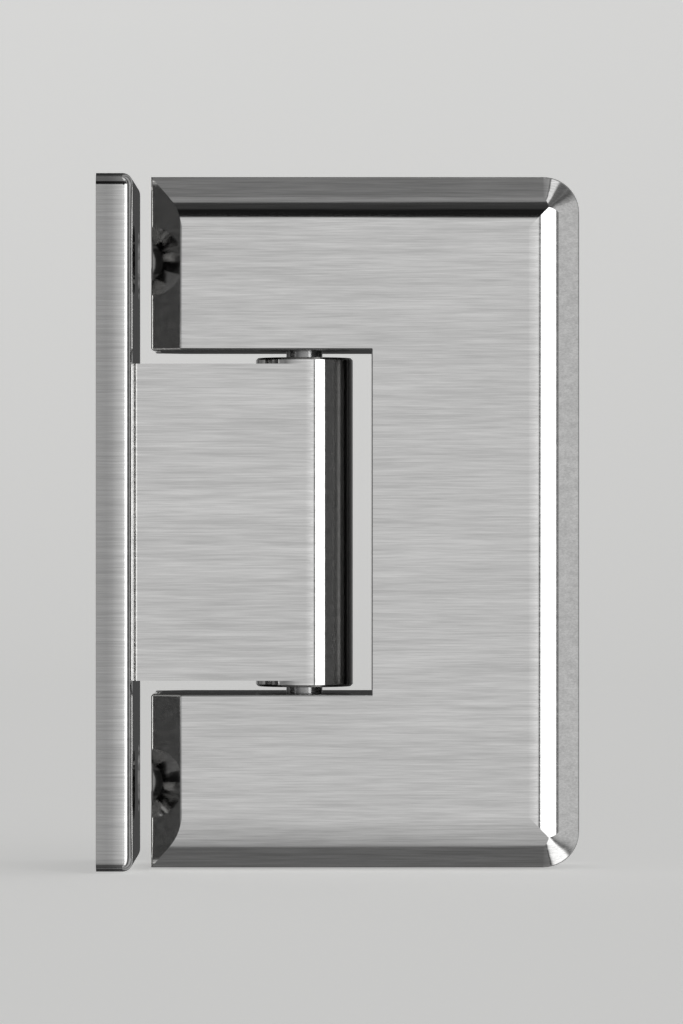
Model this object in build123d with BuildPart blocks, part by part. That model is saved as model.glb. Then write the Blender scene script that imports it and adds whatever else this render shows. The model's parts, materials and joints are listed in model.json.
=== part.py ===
"""Wall-to-glass hinge for a frameless shower door, with bevelled clamp plates.

Millimetres. X runs out from the wall, Y runs through the glass with the front at -Y, Z is up.
The origin is the centre of the wall plate's back face. The hinge is drawn with the door closed.
"""

import os
from math import sqrt

from build123d import *

os.makedirs("parts", exist_ok=True)

# ------------------------------------------------------------------ driving sizes
# Glass and gaskets
glass_t = 8.0
gasket_t = 1.0
gasket_inset = 0.8            # gasket edge inside the clamp plate's edge
glass_edge_inset = 1.0        # boss and gasket start inside the clamp plate's wall-side edge

# Wall plate
wall_plate_t = 4.7
wall_plate_w = 32.0
wall_plate_h = 90.0
wall_plate_corner_r = 1.8
wall_plate_edge_r = 1.3       # rounding round the front
wall_screw_spacing_y = 19.0
wall_screw_spacing_z = 68.0
wall_screw_hole_r = 2.6
wall_screw_head_r = 4.5

# Hinge block and barrel
pin_reach = 22.03             # wall plate's face to the pin's axis
barrel_r = 6.355              # also half the block's thickness
barrel_h = 43.0
block_step = 0.865            # block stands this much below the barrel's ends
block_edge_r = 0.35           # at the wall plate
barrel_rim = 0.3

# Bushes and pin
bush_r = 4.3
bush_length = 9.0
bush_sink = 0.2               # bush end below the barrel's end
pin_r = 2.375
pin_grip = 9.4                # length of pin held by each arm
pin_tip_chamfer = 0.4
cam_r = 3.8                   # thicker middle of the pin
cam_flat_depth = 0.45
set_flat_depth = 0.5          # flat under each set screw
set_flat_length = 5.0

# Detents: a plunger, a spring and a grub screw in each cross bore
detent_z = 5.8                # cross bore's height above and below the middle
plunger_r = 2.5
plunger_length = 8.0
plunger_cup_r = 1.8
plunger_cup_depth = 5.0
plunger_nose_chamfer = 0.4
spring_screw_length = 5.0
spring_screw_socket = 2.5
spring_wire_h = 1.0           # flat wire, along the spring
spring_wire_w = 0.6           # flat wire, across the spring
spring_coil_r = 1.35
spring_turns = 4

# Clamp plates
clamp_length = 55.55
clamp_h = 89.6
clamp_t = 6.0
clamp_edge_h = 3.5            # straight side below the bevel
clamp_bevel_w = 4.51          # bevel at the top, bottom and glass side
clamp_bevel_blend_r = 8.1     # rounding between that bevel and the face
clamp_wall_bevel_w = 3.95     # plain bevel at the wall side
clamp_wall_edge_r = 0.5       # rounding on both sides of the plain bevel
clamp_rim_r = 0.25            # rounding where the other bevels meet the sides
clamp_corner_r = 4.65
notch_gap = 2.515             # barrel to the notch's back wall
neck_gap = 0.84               # barrel end to the notch's arm
arm_corner_break = 0.2
boss_arm = 11.0               # boss above and below the notch
boss_rim = 7.4                # boss beyond the notch's back wall
boss_corner_r = 4.0
boss_gap = 0.4                # between the two bosses

# Screws of the clamp, the pin and the block
clamp_screw_offset = 10.6     # clamp screw to the pin's axis
clamp_screw_r = 2.5
clamp_screw_head_r = 4.6
clamp_screw_socket = 3.0
clamp_blind_wall = 2.4        # metal left in front of a blind threaded hole
set_screw_r = 2.0
set_screw_socket = 2.0
block_screw_z = 14.6
block_screw_r = 2.5
block_screw_head_r = 4.6
block_screw_socket = 3.0
block_screw_length = 13.5
socket_depth = 2.0
screw_tip_gap = 0.5           # blind hole beyond the screw's tip
head_sink = 0.15              # screw head below the face round it

# Clearances
swing_clearance = 0.45        # swinging arm to the wall plate
running_clearance = 0.03      # turning pin in its bush
sliding_clearance = 0.05      # plunger in its bore
seat_clearance = 0.03         # parts that are held together
thread_clearance = 0.05       # screw in its threaded hole, and head in its countersink
gasket_clearance = 0.2        # gasket round the boss
edge_tolerance = 0.01         # for finding edges by their place

# ------------------------------------------------------------------ places
pin_x = wall_plate_t + pin_reach
block_h = barrel_h - 2 * block_step
clamp_inner_y = glass_t / 2 + gasket_t
clamp_outer_y = clamp_inner_y + clamp_t
clamp_edge_y = clamp_inner_y + clamp_edge_h
clamp_bevel_h = clamp_t - clamp_edge_h
arm_reach = sqrt((pin_reach - swing_clearance) ** 2 - clamp_edge_y**2)
clamp_left_x = pin_x - arm_reach
clamp_right_x = clamp_left_x + clamp_length
notch_x = pin_x + barrel_r + notch_gap
notch_half_h = barrel_h / 2 + neck_gap
boss_left_x = clamp_left_x + glass_edge_inset
boss_right_x = notch_x + boss_rim
boss_half_h = notch_half_h + boss_arm
pin_half_h = notch_half_h + pin_grip
cam_half_h = barrel_h / 2 - bush_sink - bush_length - seat_clearance
cam_flat = cam_r - cam_flat_depth
arm_screw_z = notch_half_h + boss_arm / 2
cross_bore_r = plunger_r + sliding_clearance
plunger_nose_x = pin_x - cam_r - running_clearance
plunger_tail_x = plunger_nose_x - plunger_length
spring_screw_x = wall_plate_t + head_sink
spring_start_x = spring_screw_x + spring_screw_length + seat_clearance
spring_end_x = plunger_tail_x + plunger_cup_depth - seat_clearance
levels = {"upper": 1, "lower": -1}


def towards_wall(x, z):
    """A plane across the cross bores that faces the wall."""
    return Plane(origin=(x, 0, z), x_dir=(0, 1, 0), z_dir=(-1, 0, 0))


def socket_screw(face, thread_r, length, socket, head_r=0):
    """A socket screw that points down from the face plane, countersunk where it has a head."""
    below = (Align.CENTER, Align.CENTER, Align.MAX)
    with BuildPart(face) as screw:
        Cylinder(thread_r, length, align=below)
        if head_r:
            Cone(thread_r, head_r, head_r - thread_r, align=below)
        with BuildSketch(face):
            RegularPolygon(socket / 2, 6, major_radius=False)
        extrude(amount=-socket_depth, mode=Mode.SUBTRACT)
    return screw


# ------------------------------------------------------------------ wall plate
wall_face = Plane(origin=(wall_plate_t, 0, 0), x_dir=(0, 1, 0), z_dir=(1, 0, 0))
wall_back = towards_wall(0, 0)

with BuildPart() as wall_plate:
    with BuildSketch(Plane.YZ):
        RectangleRounded(wall_plate_w, wall_plate_h, wall_plate_corner_r)
    extrude(amount=wall_plate_t)
    fillet(wall_plate.faces().sort_by(Axis.X)[-1].edges(), wall_plate_edge_r)
    with Locations(wall_face):
        with GridLocations(wall_screw_spacing_y, wall_screw_spacing_z, 2, 2):
            CounterSinkHole(wall_screw_hole_r, wall_screw_head_r)
    with Locations(wall_back):
        with GridLocations(0, 2 * block_screw_z, 1, 2):
            CounterSinkHole(
                block_screw_r + thread_clearance,
                block_screw_head_r + thread_clearance + head_sink,
            )
wall_plate.part.label = "wall_plate"
export_step(wall_plate.part, "parts/wall_plate.step")

# ------------------------------------------------------------------ hinge block
with BuildPart() as hinge_block:
    with BuildSketch(Plane.XY.offset(-block_h / 2)):
        with Locations((wall_plate_t, 0)):
            Rectangle(pin_reach, 2 * barrel_r, align=(Align.MIN, Align.CENTER))
    extrude(amount=block_h)
    fillet(hinge_block.faces().sort_by(Axis.X)[0].edges().filter_by(Axis.Z), block_edge_r)
    with BuildSketch(Plane.XY.offset(-barrel_h / 2)):
        with Locations((pin_x, 0)):
            Circle(barrel_r)
    extrude(amount=barrel_h)
    ends = hinge_block.faces().filter_by(Axis.Z).group_by(Axis.Z)
    chamfer(ends[0].edges() + ends[-1].edges(), length=barrel_rim)
    with Locations((pin_x, 0, 0)):
        Hole(bush_r)
    with Locations(wall_face):
        with GridLocations(0, 2 * detent_z, 1, 2):
            Cylinder(
                cross_bore_r,
                pin_reach,
                align=(Align.CENTER, Align.CENTER, Align.MIN),
                mode=Mode.SUBTRACT,
            )
        with GridLocations(0, 2 * block_screw_z, 1, 2):
            Cylinder(
                block_screw_r + thread_clearance,
                block_screw_length - wall_plate_t + head_sink + screw_tip_gap,
                align=(Align.CENTER, Align.CENTER, Align.MIN),
                mode=Mode.SUBTRACT,
            )
hinge_block.part.label = "hinge_block"
export_step(hinge_block.part, "parts/hinge_block.step")

for level, up in levels.items():
    block_screw = socket_screw(
        towards_wall(head_sink, up * block_screw_z),
        block_screw_r,
        block_screw_length,
        block_screw_socket,
        block_screw_head_r,
    )
    block_screw.part.label = f"block_screw_{level}"
    export_step(block_screw.part, f"parts/block_screw_{level}.step")

# ------------------------------------------------------------------ bushes and pin
bush_low = barrel_h / 2 - bush_sink - bush_length
for level, up in levels.items():
    with BuildPart() as bush:
        with BuildSketch(Plane.XY.offset(bush_low if up > 0 else -bush_low - bush_length)):
            with Locations((pin_x, 0)):
                Circle(bush_r - seat_clearance)
                Circle(pin_r + running_clearance, mode=Mode.SUBTRACT)
        extrude(amount=bush_length)
    bush.part.label = f"bush_{level}"
    export_step(bush.part, f"parts/bush_{level}.step")

with BuildPart() as hinge_pin:
    with BuildSketch(Plane.XY.offset(-pin_half_h)):
        with Locations((pin_x, 0)):
            Circle(pin_r)
    extrude(amount=2 * pin_half_h)
    chamfer(hinge_pin.edges().filter_by(GeomType.CIRCLE), length=pin_tip_chamfer)
    with BuildSketch(Plane.XY.offset(-cam_half_h)):
        with Locations((pin_x, 0)):
            Circle(cam_r)
            Rectangle(2 * cam_flat, 2 * cam_flat, mode=Mode.INTERSECT)
    extrude(amount=2 * cam_half_h)
    set_flat_y = pin_r - set_flat_depth
    with Locations((pin_x, set_flat_y, arm_screw_z), (pin_x, set_flat_y, -arm_screw_z)):
        Box(
            2 * pin_r,
            2 * set_flat_depth,
            set_flat_length,
            align=(Align.CENTER, Align.MIN, Align.CENTER),
            mode=Mode.SUBTRACT,
        )
hinge_pin.part.label = "hinge_pin"
export_step(hinge_pin.part, "parts/hinge_pin.step")

# ------------------------------------------------------------------ detents
for level, up in levels.items():
    with BuildPart(towards_wall(plunger_tail_x, up * detent_z)) as detent_plunger:
        Cylinder(plunger_r, plunger_length, align=(Align.CENTER, Align.CENTER, Align.MAX))
        nose = detent_plunger.faces().sort_by(Axis.X)[-1]
        chamfer(nose.edges(), length=plunger_nose_chamfer)
        Hole(plunger_cup_r, depth=plunger_cup_depth)
    detent_plunger.part.label = f"detent_plunger_{level}"
    export_step(detent_plunger.part, f"parts/detent_plunger_{level}.step")

    spring_screw = socket_screw(
        towards_wall(spring_screw_x, up * detent_z),
        plunger_r,
        spring_screw_length,
        spring_screw_socket,
    )
    spring_screw.part.label = f"spring_screw_{level}"
    export_step(spring_screw.part, f"parts/spring_screw_{level}.step")

    coil_height = spring_end_x - spring_start_x - spring_wire_h
    coil_start = Vector(spring_start_x + spring_wire_h / 2, 0, up * detent_z)
    with BuildPart() as detent_spring:
        with BuildLine() as coil:
            Helix(
                pitch=coil_height / spring_turns,
                height=coil_height,
                radius=spring_coil_r,
                center=coil_start,
                direction=(1, 0, 0),
            )
        wire_end = coil.line @ 0
        with BuildSketch(Plane(wire_end, x_dir=wire_end - coil_start, z_dir=coil.line % 0)):
            Rectangle(spring_wire_w, spring_wire_h)
        sweep(is_frenet=True)
    detent_spring.part.label = f"detent_spring_{level}"
    export_step(detent_spring.part, f"parts/detent_spring_{level}.step")

# ------------------------------------------------------------------ clamp plates
# Each plate is where three shapes meet: the section across its height, the section along
# its length and its rounded outline with the bevel run round the corners.
with BuildPart() as rounded_outline:
    with BuildSketch(Plane.XZ.offset(clamp_inner_y)) as outline:
        with Locations((clamp_left_x, 0)):
            Rectangle(clamp_length, clamp_h, align=(Align.MIN, Align.CENTER))
        fillet(outline.vertices().group_by(Axis.X)[-1], clamp_corner_r)
    extrude(amount=clamp_t)
    face = rounded_outline.faces().sort_by(Axis.Y)[0]
    bevelled = face.edges() - face.edges().group_by(Axis.X)[0]
    chamfer(bevelled, length=clamp_bevel_w, length2=clamp_bevel_h, reference=face)
    rim = rounded_outline.edges().filter_by_position(
        Axis.Y, -clamp_edge_y - edge_tolerance, -clamp_edge_y + edge_tolerance
    )
    fillet(rim, clamp_rim_r)

with BuildPart() as clamp_blank:
    with BuildSketch(Plane.YZ.offset(clamp_left_x)) as height_section:
        with BuildLine():
            half_face = clamp_h / 2 - clamp_bevel_w
            Polyline(
                (-clamp_inner_y, -clamp_h / 2),
                (-clamp_edge_y, -clamp_h / 2),
                (-clamp_outer_y, -half_face),
                (-clamp_outer_y, half_face),
                (-clamp_edge_y, clamp_h / 2),
                (-clamp_inner_y, clamp_h / 2),
                close=True,
            )
        make_face()
        fillet(height_section.vertices().group_by(Axis.X)[0], clamp_bevel_blend_r)
    extrude(amount=clamp_length)
    with BuildSketch(Plane.XY.offset(-clamp_h / 2)) as length_section:
        with BuildLine():
            Polyline(
                (clamp_left_x, -clamp_inner_y),
                (clamp_left_x, -clamp_edge_y),
                (clamp_left_x + clamp_wall_bevel_w, -clamp_outer_y),
                (clamp_right_x - clamp_bevel_w, -clamp_outer_y),
                (clamp_right_x, -clamp_edge_y),
                (clamp_right_x, -clamp_inner_y),
                close=True,
            )
        make_face()
        face_ends = length_section.vertices().group_by(Axis.Y)[0].sort_by(Axis.X)
        fillet(face_ends[-1], clamp_bevel_blend_r)
        face_ends = length_section.vertices().group_by(Axis.Y)[0].sort_by(Axis.X)
        wall_edge = length_section.vertices().group_by(Axis.X)[0].sort_by(Axis.Y)[0]
        fillet([wall_edge, face_ends[0]], clamp_wall_edge_r)
    extrude(amount=clamp_h, mode=Mode.INTERSECT)
    add(rounded_outline.part, mode=Mode.INTERSECT)
    # the boss fills the cut-out of the glass and carries the pin
    with BuildSketch(Plane.XZ.offset(boss_gap / 2)) as boss:
        with Locations((boss_left_x, 0)):
            Rectangle(boss_right_x - boss_left_x, 2 * boss_half_h, align=(Align.MIN, Align.CENTER))
        fillet(boss.vertices().group_by(Axis.X)[-1], boss_corner_r)
    extrude(amount=clamp_inner_y - boss_gap / 2)
    # the notch lets the block in from the wall side
    with BuildSketch(Plane.XZ):
        with Locations((clamp_left_x, 0)):
            Rectangle(notch_x - clamp_left_x, 2 * notch_half_h, align=(Align.MIN, Align.CENTER))
    extrude(amount=clamp_outer_y, mode=Mode.SUBTRACT)
    arm_corners = clamp_blank.edges().filter_by(Axis.Y).group_by(Axis.X)[0]
    notch_corners = arm_corners.sort_by(Axis.Z)[1:-1]
    chamfer(notch_corners, arm_corner_break)
    # half-round seats of the pin
    with Locations((pin_x, 0, 0)):
        Cylinder(pin_r + seat_clearance, 2 * (pin_half_h + seat_clearance), mode=Mode.SUBTRACT)

back_face = Plane(origin=(pin_x, clamp_outer_y, 0), x_dir=(1, 0, 0), z_dir=(0, 1, 0))
screw_spacing_z = 2 * arm_screw_z
tapped_depth = clamp_outer_y - clamp_blind_wall

with BuildPart() as front_clamp_plate:
    add(clamp_blank.part)
    with Locations(Plane.XZ.shift_origin((pin_x, 0, 0))):
        with GridLocations(2 * clamp_screw_offset, screw_spacing_z, 2, 2):
            Cylinder(
                clamp_screw_r + thread_clearance,
                tapped_depth,
                align=(Align.CENTER, Align.CENTER, Align.MIN),
                mode=Mode.SUBTRACT,
            )
front_clamp_plate.part.label = "front_clamp_plate"
export_step(front_clamp_plate.part, "parts/front_clamp_plate.step")

with BuildPart() as back_clamp_plate:
    mirror(clamp_blank.part, about=Plane.XZ)
    with Locations(back_face):
        with GridLocations(2 * clamp_screw_offset, screw_spacing_z, 2, 2):
            CounterSinkHole(
                clamp_screw_r + thread_clearance,
                clamp_screw_head_r + thread_clearance + head_sink,
            )
        with GridLocations(0, screw_spacing_z, 1, 2):
            Hole(set_screw_r + thread_clearance)
back_clamp_plate.part.label = "back_clamp_plate"
export_step(back_clamp_plate.part, "parts/back_clamp_plate.step")

# ------------------------------------------------------------------ clamp and pin screws
sides = {"inner": -1, "outer": 1}
screw_face_y = clamp_outer_y - head_sink
clamp_screw_length = screw_face_y + tapped_depth - screw_tip_gap
set_screw_length = screw_face_y - (pin_r - set_flat_depth) - seat_clearance
for level, up in levels.items():
    for side, out in sides.items():
        head = Plane(
            origin=(pin_x + out * clamp_screw_offset, screw_face_y, up * arm_screw_z),
            x_dir=(1, 0, 0),
            z_dir=(0, 1, 0),
        )
        clamp_screw = socket_screw(
            head, clamp_screw_r, clamp_screw_length, clamp_screw_socket, clamp_screw_head_r
        )
        clamp_screw.part.label = f"clamp_screw_{level}_{side}"
        export_step(clamp_screw.part, f"parts/clamp_screw_{level}_{side}.step")

    set_face = Plane(
        origin=(pin_x, screw_face_y, up * arm_screw_z), x_dir=(1, 0, 0), z_dir=(0, 1, 0)
    )
    pin_set_screw = socket_screw(set_face, set_screw_r, set_screw_length, set_screw_socket)
    pin_set_screw.part.label = f"pin_set_screw_{level}"
    export_step(pin_set_screw.part, f"parts/pin_set_screw_{level}.step")

# ------------------------------------------------------------------ gaskets
for side, out in {"front": 1, "back": -1}.items():
    with BuildPart() as gasket:
        start = out * glass_t / 2
        with BuildSketch(Plane.XZ.offset(start)) as sheet:
            with Locations((clamp_left_x + glass_edge_inset, 0)):
                Rectangle(
                    clamp_length - glass_edge_inset - gasket_inset,
                    clamp_h - 2 * gasket_inset,
                    align=(Align.MIN, Align.CENTER),
                )
            fillet(sheet.vertices().group_by(Axis.X)[-1], clamp_corner_r - gasket_inset)
            with Locations((clamp_left_x, 0)):
                Rectangle(
                    boss_right_x + gasket_clearance - clamp_left_x,
                    2 * (boss_half_h + gasket_clearance),
                    align=(Align.MIN, Align.CENTER),
                    mode=Mode.SUBTRACT,
                )
        extrude(amount=out * gasket_t)
    gasket.part.label = f"{side}_gasket"
    export_step(gasket.part, f"parts/{side}_gasket.step")
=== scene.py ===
import json
from math import cos, degrees, pi, sin

import bpy
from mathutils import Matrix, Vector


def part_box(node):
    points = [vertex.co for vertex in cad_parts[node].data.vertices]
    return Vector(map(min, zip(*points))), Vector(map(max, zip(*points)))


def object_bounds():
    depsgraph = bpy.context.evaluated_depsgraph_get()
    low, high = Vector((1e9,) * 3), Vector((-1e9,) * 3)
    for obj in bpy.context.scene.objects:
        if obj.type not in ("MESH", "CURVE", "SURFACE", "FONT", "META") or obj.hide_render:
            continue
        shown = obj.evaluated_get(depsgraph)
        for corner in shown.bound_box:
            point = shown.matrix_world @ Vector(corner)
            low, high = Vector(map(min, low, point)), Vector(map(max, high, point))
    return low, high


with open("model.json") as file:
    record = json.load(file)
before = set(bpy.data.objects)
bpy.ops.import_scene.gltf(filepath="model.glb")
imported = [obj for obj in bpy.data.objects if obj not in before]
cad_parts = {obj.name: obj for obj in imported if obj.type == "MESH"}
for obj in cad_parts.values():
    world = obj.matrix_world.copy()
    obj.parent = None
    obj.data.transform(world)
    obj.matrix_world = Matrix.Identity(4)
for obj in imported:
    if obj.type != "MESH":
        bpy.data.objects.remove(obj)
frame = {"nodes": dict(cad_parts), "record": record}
cad_low, cad_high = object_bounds()
nodes = frame["nodes"]

# ------------------------------------------------------------------ camera
# The lens stands level with the hinge's middle, far off, and looks square at the glass.
CAMERA_DISTANCE = 0.7937      # lens to the middle of the glass
CAMERA_X = 0.0316
CAMERA_Z = 0.00133
LENS_MM = 212.7
SENSOR_MM = 36.0

camera_data = bpy.data.cameras.new("camera")
camera_data.lens = LENS_MM
camera_data.sensor_width = SENSOR_MM
camera_data.clip_start = 0.05
camera_data.clip_end = 20.0
camera = bpy.data.objects.new("camera", camera_data)
camera.location = (CAMERA_X, -CAMERA_DISTANCE, CAMERA_Z)
camera.rotation_euler = (pi / 2, 0.0, 0.0)
bpy.context.scene.collection.objects.link(camera)
bpy.context.scene.camera = camera


# ------------------------------------------------------------------ node helpers
class Graph:
    """A few short calls for building a node tree."""

    def __init__(self, tree):
        self.tree = tree
        tree.nodes.clear()

    def add(self, kind, **settings):
        node = self.tree.nodes.new(kind)
        for name, value in settings.items():
            setattr(node, name, value)
        return node

    def link(self, source, target):
        self.tree.links.new(source, target)

    def put(self, socket, value):
        """Links a socket, or sets a plain value."""
        if isinstance(value, bpy.types.NodeSocket):
            self.link(value, socket)
        else:
            socket.default_value = value

    def math(self, operation, a, b=None, clamp=False):
        node = self.add("ShaderNodeMath", operation=operation, use_clamp=clamp)
        self.put(node.inputs[0], a)
        if b is not None:
            self.put(node.inputs[1], b)
        return node.outputs[0]

    def ramp(self, factor, stops):
        """A colour ramp through (place, grey or colour) stops."""
        node = self.add("ShaderNodeValToRGB")
        points = node.color_ramp.elements
        while len(points) < len(stops):
            points.new(1.0)
        for point, (place, value) in zip(points, stops):
            point.position = place
            colour = value if isinstance(value, tuple) else (value,) * 3
            point.color = (*colour, 1.0)
        self.put(node.inputs[0], factor)
        return node.outputs[0]

    def remap(self, value, low, high, new_low=0.0, new_high=1.0):
        node = self.add("ShaderNodeMapRange")
        for socket, number in zip(node.inputs, (value, low, high, new_low, new_high)):
            self.put(socket, number)
        return node.outputs[0]

    def noise(self, vector, scale, detail=3.0, roughness=0.5):
        node = self.add("ShaderNodeTexNoise")
        self.put(node.inputs["Vector"], vector)
        node.inputs["Scale"].default_value = scale
        node.inputs["Detail"].default_value = detail
        node.inputs["Roughness"].default_value = roughness
        return node.outputs["Fac"]

    def stretch(self, vector, scale):
        node = self.add("ShaderNodeMapping")
        self.put(node.inputs["Vector"], vector)
        node.inputs["Scale"].default_value = scale
        return node.outputs["Vector"]

    def mix(self, factor, a, b):
        node = self.add("ShaderNodeMix", data_type="RGBA")
        self.put(node.inputs["Factor"], factor)
        self.put(node.inputs[6], a)
        self.put(node.inputs[7], b)
        return node.outputs[2]


def new_material(name):
    material = bpy.data.materials.new(name)
    material.use_nodes = True
    return material, Graph(material.node_tree)


# ------------------------------------------------------------------ materials
GRAIN = (150.0, 5000.0, 5000.0)      # noise scale along X, Y and Z, in waves a metre
STREAKS = (55.0, 1500.0, 1500.0)
STEEL = (0.80, 0.797, 0.79)
STEEL_ROUGHNESS = 0.085
STEEL_CONTRAST = 0.15
STEEL_SPREAD = 0.35


def brushed_steel(name, painted_wall_shade=None, bores=None, notch=None):
    """Metal with fine parallel grain along X.

    painted_wall_shade holds (X, brightness) stops of painted shade that make the steel darker towards
    the wall. bores is the (Y, Z, radius) of four holes whose insides are darkened with painted shade,
    placed the same way in each corner.
    notch is the (X, Z) of a notch whose walls are darkened with painted shade and made rougher.
    """
    material, g = new_material(name)
    place = g.add("ShaderNodeTexCoord").outputs["Object"]
    fine = g.noise(g.stretch(place, GRAIN), 1.0, detail=3.0, roughness=0.6)
    long = g.noise(g.stretch(place, STREAKS), 1.0, detail=2.0, roughness=0.5)
    cloud = g.noise(place, 60.0, detail=2.0)
    shade = g.math("ADD", g.math("MULTIPLY", fine, 0.6), g.math("MULTIPLY", long, 0.4))
    tone = g.remap(shade, 0.36, 0.64, 1.0 - STEEL_CONTRAST, 1.0 + STEEL_CONTRAST)
    tone = g.math("MULTIPLY", tone, g.remap(cloud, 0.3, 0.7, 0.985, 1.015))
    split = g.add("ShaderNodeSeparateXYZ")
    g.link(place, split.inputs[0])
    blur = g.remap(shade, 0.3, 0.7, STEEL_ROUGHNESS * 0.85, STEEL_ROUGHNESS * 1.15)
    if bores:
        square = None
        for axis, centre in ((1, bores[0]), (2, bores[1])):
            off = g.math("SUBTRACT", g.math("ABSOLUTE", split.outputs[axis]), centre)
            off = g.math("MULTIPLY", off, off)
            square = g.math("ADD", square, off) if square else off
        inside = g.math("LESS_THAN", g.math("SQRT", square), bores[2])
        # Painted shade: the steel inside each countersink is darkened.
        tone = g.math("MULTIPLY", tone, g.remap(inside, 0.0, 1.0, 1.0, PAINTED_BORE_SHADE))
    if notch:
        inside = g.math(
            "MULTIPLY",
            g.math("LESS_THAN", split.outputs[0], notch[0]),
            g.math("LESS_THAN", g.math("ABSOLUTE", split.outputs[2]), notch[1]),
        )
        # Painted shade: the notch walls are darkened; NOTCH_BLUR also makes them rougher.
        tone = g.math("MULTIPLY", tone, g.remap(inside, 0.0, 1.0, 1.0, PAINTED_NOTCH_SHADE))
        blur = g.math("ADD", blur, g.math("MULTIPLY", inside, NOTCH_BLUR))
    # Painted shade: the steel is darkened towards the wall by the given stops.
    if painted_wall_shade:
        reach = painted_wall_shade[-1][0]
        stops = [(x / reach, level) for x, level in painted_wall_shade]
        tone = g.math("MULTIPLY", tone, g.ramp(g.math("DIVIDE", split.outputs[0], reach), stops))
    tint = g.add("ShaderNodeMix", data_type="RGBA", blend_type="MULTIPLY")
    tint.inputs["Factor"].default_value = 1.0
    tint.inputs[6].default_value = (*STEEL, 1.0)
    g.link(tone, tint.inputs[7])

    shader = g.add("ShaderNodeBsdfPrincipled")
    g.link(tint.outputs[2], shader.inputs["Base Color"])
    shader.inputs["Metallic"].default_value = 1.0
    shader.inputs["Anisotropic"].default_value = STEEL_SPREAD
    g.link(blur, shader.inputs["Roughness"])
    along = g.add("ShaderNodeCombineXYZ")
    along.inputs[2].default_value = 1.0
    g.link(along.outputs[0], shader.inputs["Tangent"])
    bump = g.add("ShaderNodeBump")
    bump.inputs["Strength"].default_value = 0.12
    bump.inputs["Distance"].default_value = 0.00001
    g.link(shade, bump.inputs["Height"])
    g.link(bump.outputs[0], shader.inputs["Normal"])
    output = g.add("ShaderNodeOutputMaterial")
    g.link(shader.outputs[0], output.inputs["Surface"])
    return material


def plain(name, colour, roughness, metallic=0.0, grain_scale=900.0, depth=0.00001):
    """A moulded or machined surface with a fine even grain."""
    material, g = new_material(name)
    place = g.add("ShaderNodeTexCoord").outputs["Object"]
    grain = g.noise(place, grain_scale, detail=3.0)
    low = tuple(c * 0.92 for c in colour)
    high = tuple(min(1.0, c * 1.06) for c in colour)
    shader = g.add("ShaderNodeBsdfPrincipled")
    g.link(g.ramp(grain, [(0.3, low), (0.7, high)]), shader.inputs["Base Color"])
    g.link(g.remap(grain, 0.3, 0.7, roughness * 0.9, roughness * 1.1), shader.inputs["Roughness"])
    shader.inputs["Metallic"].default_value = metallic
    bump = g.add("ShaderNodeBump")
    bump.inputs["Strength"].default_value = 0.3
    bump.inputs["Distance"].default_value = depth
    g.link(grain, bump.inputs["Height"])
    g.link(bump.outputs[0], shader.inputs["Normal"])
    output = g.add("ShaderNodeOutputMaterial")
    g.link(shader.outputs[0], output.inputs["Surface"])
    return material


# Painted shade that varies by place on the steel: the countersinks, the notch walls and the wall plate
# near the wall are darkened. The levels were chosen by grey level, to match how the hinge looks from
# the front, and stand for no known difference in its finish.
PAINTED_BORE_SHADE = 0.50
PAINTED_NOTCH_SHADE = 0.42
NOTCH_BLUR = 0.15
# Painted shade on the wall plate, darker towards the wall: (metres from the wall, brightness)
PAINTED_WALL_SHADE = [(0.0, 0.60), (0.0014, 0.56), (0.0021, 0.62), (0.0029, 0.84), (0.0034, 1.0)]
BORE_RADIUS = 0.00452                 # the countersink's rim, and a hair more: the circle of painted shade
# These two set where the painted shade on the notch walls ends.
BEHIND_BARREL = 0.002565              # from the barrel to just behind the notch's back wall
ABOVE_BARREL = 0.0009                 # from the barrel's end to just past the notch's arm

block_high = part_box("hinge_block")[1]
notch = (block_high.x + BEHIND_BARREL, block_high.z + ABOVE_BARREL)
wall_screws = next(m for m in frame["record"]["mounts"] if m["name"] == "wall_screws")["dims"]
bores = (
    wall_screws["spacing_x_mm"] / 2000,
    wall_screws["spacing_y_mm"] / 2000,
    BORE_RADIUS,
)
block_steel = brushed_steel("brushed_block")
# The plates carry painted shade on the notch walls; the wall plate carries painted shade near the wall
# and in the countersinks.
plates = brushed_steel("brushed_plates", notch=notch)
wall_steel = brushed_steel("brushed_wall_plate", painted_wall_shade=PAINTED_WALL_SHADE, bores=bores)
pin_steel = plain("turned_pin", (0.50, 0.50, 0.50), 0.2, metallic=1.0)
screw_steel = plain("screw_steel", (0.62, 0.62, 0.62), 0.28, metallic=1.0)
spring_steel = plain("spring_steel", (0.40, 0.40, 0.42), 0.35, metallic=1.0)
nylon = plain("nylon", (0.80, 0.79, 0.74), 0.5)
rubber = plain("gasket_rubber", (0.035, 0.035, 0.037), 0.6, depth=0.00003)

FINISH = {
    "wall_plate": wall_steel,
    "hinge_block": block_steel,
    "front_clamp_plate": plates,
    "back_clamp_plate": plates,
    "hinge_pin": pin_steel,
    "front_gasket": rubber,
    "back_gasket": rubber,
}
for name, piece in nodes.items():
    if name.startswith("bush"):
        material = nylon
    elif name.startswith("detent_spring"):
        material = spring_steel
    else:
        material = FINISH.get(name, screw_steel)
    piece.data.materials.clear()
    piece.data.materials.append(material)


# ------------------------------------------------------------------ floor and backdrop
# A shallow bowl: a flat floor under the hinge that curves up all round, out past every view.
FLOOR_GAP = 0.0002
BOWL_FLOOR_R = 0.9
BOWL_CURVE_R = 1.2
BOWL_TOP = 3.0
BOWL_TURNS = 96
BOWL_STEPS = 24
FLOOR_GREY = 0.80
BACKDROP_GLOW = 0.42           # keeps the paper pale all round


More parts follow.
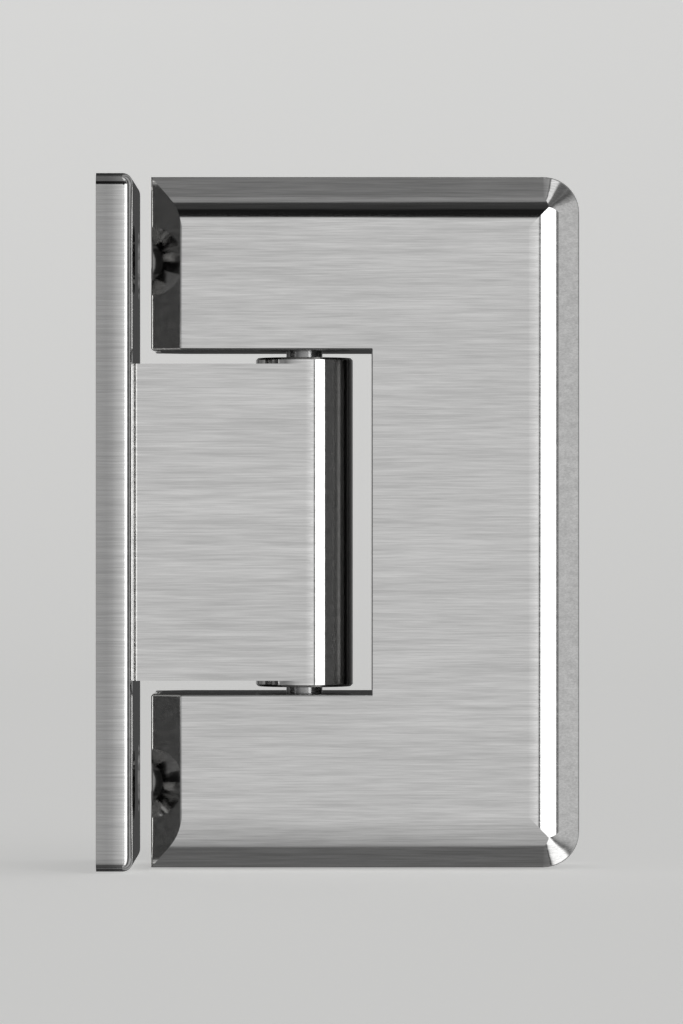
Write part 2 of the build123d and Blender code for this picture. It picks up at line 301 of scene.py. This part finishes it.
def bowl():
    floor_z = cad_low.z - FLOOR_GAP
    rings = [(0.0, 0.0), (BOWL_FLOOR_R, 0.0)]
    for step in range(1, BOWL_STEPS + 1):
        turn = pi / 2 * step / BOWL_STEPS
        rings.append((BOWL_FLOOR_R + BOWL_CURVE_R * sin(turn), BOWL_CURVE_R * (1 - cos(turn))))
    rings.append((rings[-1][0], BOWL_TOP))
    points = [(0.0, 0.0, floor_z)]
    faces = []
    for radius, height in rings[1:]:
        for k in range(BOWL_TURNS):
            angle = 2 * pi * k / BOWL_TURNS
            points.append((radius * cos(angle), radius * sin(angle), floor_z + height))
    for k in range(BOWL_TURNS):
        faces.append((0, 1 + k, 1 + (k + 1) % BOWL_TURNS))
    for ring in range(len(rings) - 2):
        start = 1 + ring * BOWL_TURNS
        for k in range(BOWL_TURNS):
            after = (k + 1) % BOWL_TURNS
            faces.append((start + k, start + BOWL_TURNS + k, start + BOWL_TURNS + after, start + after))
    mesh = bpy.data.meshes.new("studio_bowl")
    mesh.from_pydata(points, [], faces)
    mesh.polygons.foreach_set("use_smooth", [True] * len(mesh.polygons))
    piece = bpy.data.objects.new("studio_bowl", mesh)
    bpy.context.scene.collection.objects.link(piece)
    material, g = new_material("studio_paper")
    shader = g.add("ShaderNodeBsdfPrincipled")
    shader.inputs["Base Color"].default_value = (FLOOR_GREY, FLOOR_GREY, FLOOR_GREY * 0.99, 1.0)
    shader.inputs["Roughness"].default_value = 1.0
    shader.inputs["Specular IOR Level"].default_value = 0.0
    shader.inputs["Emission Color"].default_value = (1.0, 1.0, 0.985, 1.0)
    shader.inputs["Emission Strength"].default_value = BACKDROP_GLOW
    output = g.add("ShaderNodeOutputMaterial")
    g.link(shader.outputs[0], output.inputs["Surface"])
    mesh.materials.append(material)
    piece.visible_glossy = False
    piece.visible_diffuse = False
    piece.visible_transmission = False
    piece.visible_shadow = False


bowl()

# ------------------------------------------------------------------ studio light
# The room round the hinge is painted by direction: turn is the angle from the front towards
# the glass side, lift the angle above the floor. The bands' angles and levels were fitted so
# that the steel looks right from the front.
world = bpy.data.worlds.new("studio")
world.use_nodes = True
bpy.context.scene.world = world
g = Graph(world.node_tree)
direction = g.add("ShaderNodeTexCoord").outputs["Generated"]
part = g.add("ShaderNodeSeparateXYZ")
g.link(direction, part.inputs[0])
DEGREES = degrees(1.0)
ahead = g.math("MULTIPLY", part.outputs[1], -1.0)
turn = g.math("MULTIPLY", g.math("ARCTAN2", part.outputs[0], ahead), DEGREES)
lift = g.math("MULTIPLY", g.math("ARCSINE", part.outputs[2]), DEGREES)


def grey(level):
    """Scene-linear value of a display grey level."""
    c = level / 255.0
    return c / 12.92 if c <= 0.04045 else ((c + 0.055) / 1.055) ** 2.4


def scene_value(level):
    """Light that the steel shows as a display grey level."""
    return grey(level) / STEEL[0]


def by_angle(angle, span, stops):
    """A ramp over -span to span degrees through (degrees, value) stops."""
    places = [((degrees + span) / (2 * span), value) for degrees, value in stops]
    return g.ramp(g.remap(angle, -span, span), places)


# Upright cards round the horizon, by turn: a wide front card, a dark gap, the white box, a
# side card and dim walls.
WHITE_BOX = 1.9
ROUND = [
    (-180, 62), (-172, 64), (-163, 155), (-150, 100), (-139, 55), (-97, 40), (-90, 95), (-83, 55),
    (-68, 120), (-45, 110), (-20, 170), (-4, 184), (4, 186), (22.4, 212), (23.0, 26), (26.0, 26),
]
SIDE = [
    (53.6, 60), (56.0, 95), (58.0, 165), (62.5, 190), (64.0, 55), (72, 50), (82, 120), (100, 170),
    (125, 95), (150, 150), (169, 110), (174, 62), (180, 62),
]
round_stops = [(a, scene_value(level)) for a, level in ROUND]
round_stops += [(26.8, WHITE_BOX), (52.8, WHITE_BOX)]
round_stops += [(a, scene_value(level)) for a, level in SIDE]
bands = by_angle(turn, 180.0, round_stops)
# The front card ends in a black gap under a dim ceiling, and fades out towards the floor.
FRONT_LEVEL = scene_value(185)
LIFT = [
    (-90, 80), (-57.4, 92), (-56.0, 146), (-40, 160), (-10, 180), (0, 185), (21, 190), (22.5, 18),
    (36.5, 20), (38, 50), (50, 52), (51.5, 127), (59, 127), (61, 105), (75, 120), (90, 150),
]
card = by_angle(lift, 90.0, [(e, scene_value(level) / FRONT_LEVEL) for e, level in LIFT])
# Beyond the white box the walls are lit evenly from the floor to the ceiling.
EVEN_FROM, EVEN_TO = 52.0, 56.0
EVEN_SHARE = 0.8
even = g.remap(g.math("ABSOLUTE", turn), EVEN_FROM, EVEN_TO, 0.0, EVEN_SHARE)
card = g.mix(even, card, (1.0, 1.0, 1.0, 1.0))
light = g.add("ShaderNodeMix", data_type="RGBA", blend_type="MULTIPLY")
light.inputs["Factor"].default_value = 1.0
g.link(bands, light.inputs[6])
g.link(card, light.inputs[7])
background = g.add("ShaderNodeBackground")
g.link(light.outputs[2], background.inputs["Color"])
background.inputs["Strength"].default_value = 1.0
output = g.add("ShaderNodeOutputWorld")
g.link(background.outputs[0], output.inputs["Surface"])

bpy.context.scene.view_settings.view_transform = "Standard"
